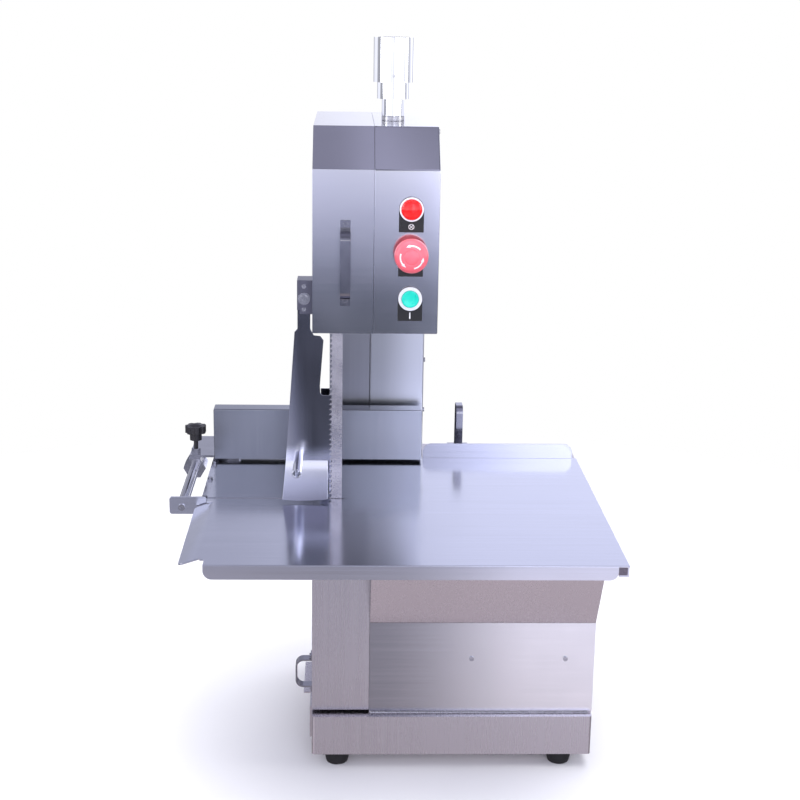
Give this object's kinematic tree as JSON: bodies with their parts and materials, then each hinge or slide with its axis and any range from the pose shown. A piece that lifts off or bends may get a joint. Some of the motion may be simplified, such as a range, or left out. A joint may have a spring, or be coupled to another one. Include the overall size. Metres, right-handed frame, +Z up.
{
  "type": "band saw for meat and bone",
  "caption": "Table-top band saw for cutting meat and bone, with a sliding fence, a hanging pusher, hinged wheel doors and a blade tension knob.",
  "frame": {"origin": "middle of the overall box, on the bench under the rubber feet", "axes": "+Z up, +Y from the control side towards the column, +X from the blade towards the long side of the table"},
  "size_m": [0.5325, 0.507, 0.898],
  "materials": {
    "sheet_steel": "satin stainless sheet",
    "brushed_steel": "brushed stainless sheet",
    "frame_steel": "machined steel",
    "polished_steel": "polished",
    "fastener_steel": "bright zinc",
    "bearing_steel": "ground",
    "blade_steel": "cold rolled",
    "wheel_metal": "machined",
    "motor_paint": "satin paint",
    "winding": "varnished copper and laminations",
    "rubber": "matt",
    "black_plastic": "matt",
    "white_plastic": "matt",
    "guide_metal": "machined",
    "red_lens": "glossy",
    "red_plastic": "glossy",
    "green_plastic": "glossy"
  },
  "bodies": {
    "frame": {"base_pan": "sheet_steel", "rubber_feet": "rubber", "foot_screws": "fastener_steel", "lower_housing": "sheet_steel", "service_panel": "brushed_steel", "table_apron": "sheet_steel", "motor_plate": "frame_steel", "column_post": "sheet_steel", "blade_cover": "sheet_steel", "head_housing": "sheet_steel", "head_plate": "frame_steel", "housing_screws": "fastener_steel", "table": "brushed_steel", "rod_carrier": "sheet_steel", "guide_rod": "polished_steel", "upper_guide": "frame_steel", "lower_guide": "frame_steel", "guide_pads": "guide_metal", "wheel_scraper": "white_plastic", "band_blade": "blade_steel", "motor_frame": "motor_paint", "motor_end_bells": "motor_paint", "motor_bearings": "bearing_steel", "motor_stator": "winding", "fan_cover": "motor_paint", "terminal_box": "black_plastic", "control_box": "black_plastic", "cable_gland": "black_plastic", "lifting_handle": "polished_steel", "carriage_rods": "polished_steel", "tension_bush": "frame_steel", "hinge_leaves": "sheet_steel", "hinge_pins": "fastener_steel", "door_catches": "black_plastic", "legend_plates": "black_plastic", "button_bezels": "polished_steel", "lamp_lens": "red_lens", "contact_blocks": "white_plastic"},
    "upper_door": {"upper_door": "sheet_steel", "upper_door_handle": "polished_steel", "pusher_bracket": "sheet_steel", "pivot_bolt": "polished_steel"},
    "lower_door": {"lower_door": "sheet_steel", "lower_door_handle": "polished_steel"},
    "pusher": {"pusher_plate": "sheet_steel", "pusher_handle": "polished_steel"},
    "carriage": {"tension_carriage": "frame_steel", "upper_axle": "polished_steel"},
    "knob": {"tension_knob": "polished_steel"},
    "upper_wheel": {"upper_wheel": "wheel_metal", "wheel_bearings": "bearing_steel"},
    "drive": {"motor_rotor": "frame_steel", "motor_fan": "black_plastic", "lower_wheel": "wheel_metal"},
    "fence": {"fence": "brushed_steel", "fence_slider": "polished_steel"},
    "clamp": {"clamp_knob": "black_plastic"},
    "estop": {"estop_button": "red_plastic"},
    "start": {"start_button": "green_plastic"},
    "drawer": {"scrap_drawer": "sheet_steel"}
  },
  "joints": [
    {"name": "upper_door_hinge", "type": "hinge", "parent": "frame", "child": "upper_door", "pos_m": [-0.01725, 0.2325, 0.68], "axis": [0, 0, -1], "range_deg": [0, 40]},
    {"name": "lower_door_hinge", "type": "hinge", "parent": "frame", "child": "lower_door", "pos_m": [-0.01725, 0.2325, 0.186], "axis": [0, 0, -1], "range_deg": [0, 105]},
    {"name": "pusher_swing", "type": "hinge", "parent": "upper_door", "child": "pusher", "pos_m": [-0.09995, -0.0193, 0.594], "axis": [0, 1, 0], "range_deg": [0, 75]},
    {"name": "knob_turn", "type": "hinge", "parent": "frame", "child": "knob", "pos_m": [0.00675, 0.0815, 0.86], "axis": [0, 0, 1], "range_deg": [0, 1440]},
    {"name": "tension_slide", "type": "slide", "parent": "frame", "child": "carriage", "axis": [0, 0, 1], "range_m": [-0.0081, 0]},
    {"name": "upper_wheel_spin", "type": "hinge", "parent": "carriage", "child": "upper_wheel", "pos_m": [-0.06925, 0.0815, 0.678], "axis": [1, 0, 0], "continuous": true},
    {"name": "drive_spin", "type": "hinge", "parent": "frame", "child": "drive", "pos_m": [-0.06925, 0.0815, 0.183], "axis": [1, 0, 0], "continuous": true},
    {"name": "fence_slide", "type": "slide", "parent": "frame", "child": "fence", "axis": [0, 1, 0], "range_m": [-0.105, 0]},
    {"name": "clamp_turn", "type": "hinge", "parent": "fence", "child": "clamp", "pos_m": [-0.25025, 0.1505, 0.378], "axis": [0, 0, 1], "range_deg": [0, 180]},
    {"name": "estop_push", "type": "slide", "parent": "frame", "child": "estop", "axis": [0, 1, 0], "range_m": [0, 0.004]},
    {"name": "start_push", "type": "slide", "parent": "frame", "child": "start", "axis": [0, 1, 0], "range_m": [0, 0.0025], "stiffness_N_per_m": 250},
    {"name": "drawer_slide", "type": "slide", "parent": "frame", "child": "drawer", "axis": [-1, 0, 0], "range_m": [0, 0.16]}
  ],
  "couplings": [
    {"joint": "upper_wheel_spin", "follows": "drive_spin", "ratio": 1},
    {"joint": "tension_slide", "follows": "knob_turn", "m_per_rad": -0.00031831}
  ]
}
